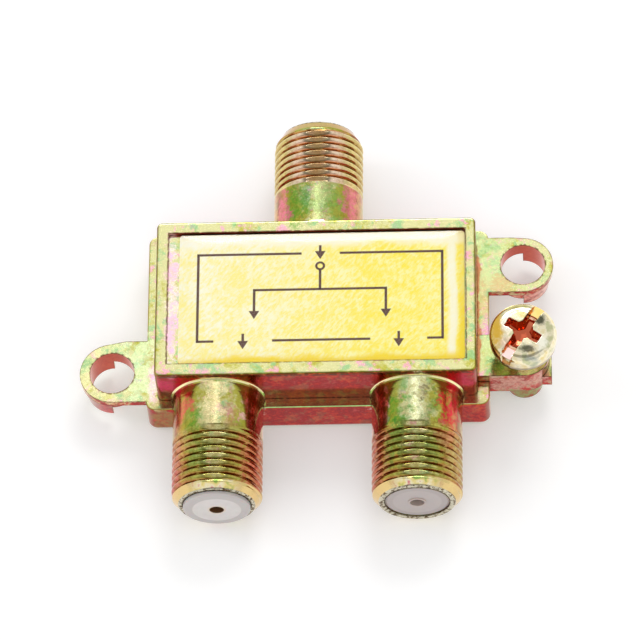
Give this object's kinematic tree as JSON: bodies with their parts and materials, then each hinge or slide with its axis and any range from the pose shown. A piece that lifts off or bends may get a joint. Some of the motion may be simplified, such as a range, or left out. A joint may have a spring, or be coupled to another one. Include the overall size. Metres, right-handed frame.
{
  "type": "coaxial splitter",
  "caption": "Die-cast coaxial splitter with threaded input and output ports, recessed domed label, mounting ears and a ground screw on a side lug.",
  "frame": {"origin": "on the mounting plane, under the middle of the box", "axes": "+Z out of the labelled face, +Y towards the input port, +X from the left output to the right output"},
  "size_m": [0.0499, 0.0437, 0.0117],
  "materials": {
    "plated_zinc": "yellow chromate plating, iridescent",
    "tinplate": "plain tinned sheet",
    "label_print": "yellow foil with dark brown print",
    "label_resin": "clear domed resin",
    "screw_plating": "bright pale gold plating",
    "port_plastic": "pale grey moulding",
    "contact_bronze": "tinned bronze",
    "bushing_plastic": "natural moulding",
    "board_laminate": "brown laminate",
    "ferrite": "grey ferrite",
    "copper_wire": "enamelled copper",
    "resistor_paint": "lacquer",
    "capacitor_coat": "dipped resin",
    "solder": "bright solder"
  },
  "bodies": {
    "splitter": {"housing": "plated_zinc", "back_cover": "tinplate", "label_foil": "label_print", "label_dome": "label_resin", "insulator_in": "port_plastic", "insulator_out_left": "port_plastic", "insulator_out_right": "port_plastic", "contact_in": "contact_bronze", "contact_out_left": "contact_bronze", "contact_out_right": "contact_bronze", "bushing_in": "bushing_plastic", "bushing_out_left": "bushing_plastic", "bushing_out_right": "bushing_plastic", "circuit_board": "board_laminate", "match_core": "ferrite", "split_core": "ferrite", "match_winding": "copper_wire", "split_winding": "copper_wire", "balance_resistor": "resistor_paint", "input_capacitor": "capacitor_coat", "match_capacitor": "capacitor_coat", "solder_in": "solder", "solder_out_left": "solder", "solder_out_right": "solder", "ground_solder_left": "solder", "ground_solder_right": "solder"},
    "screw": {"ground_screw": "screw_plating"}
  },
  "joints": [
    {"name": "ground_screw_travel", "type": "slide", "parent": "splitter", "child": "screw", "axis": [0, 0, 1], "range_m": [-0.0031, 0.0015]}
  ]
}
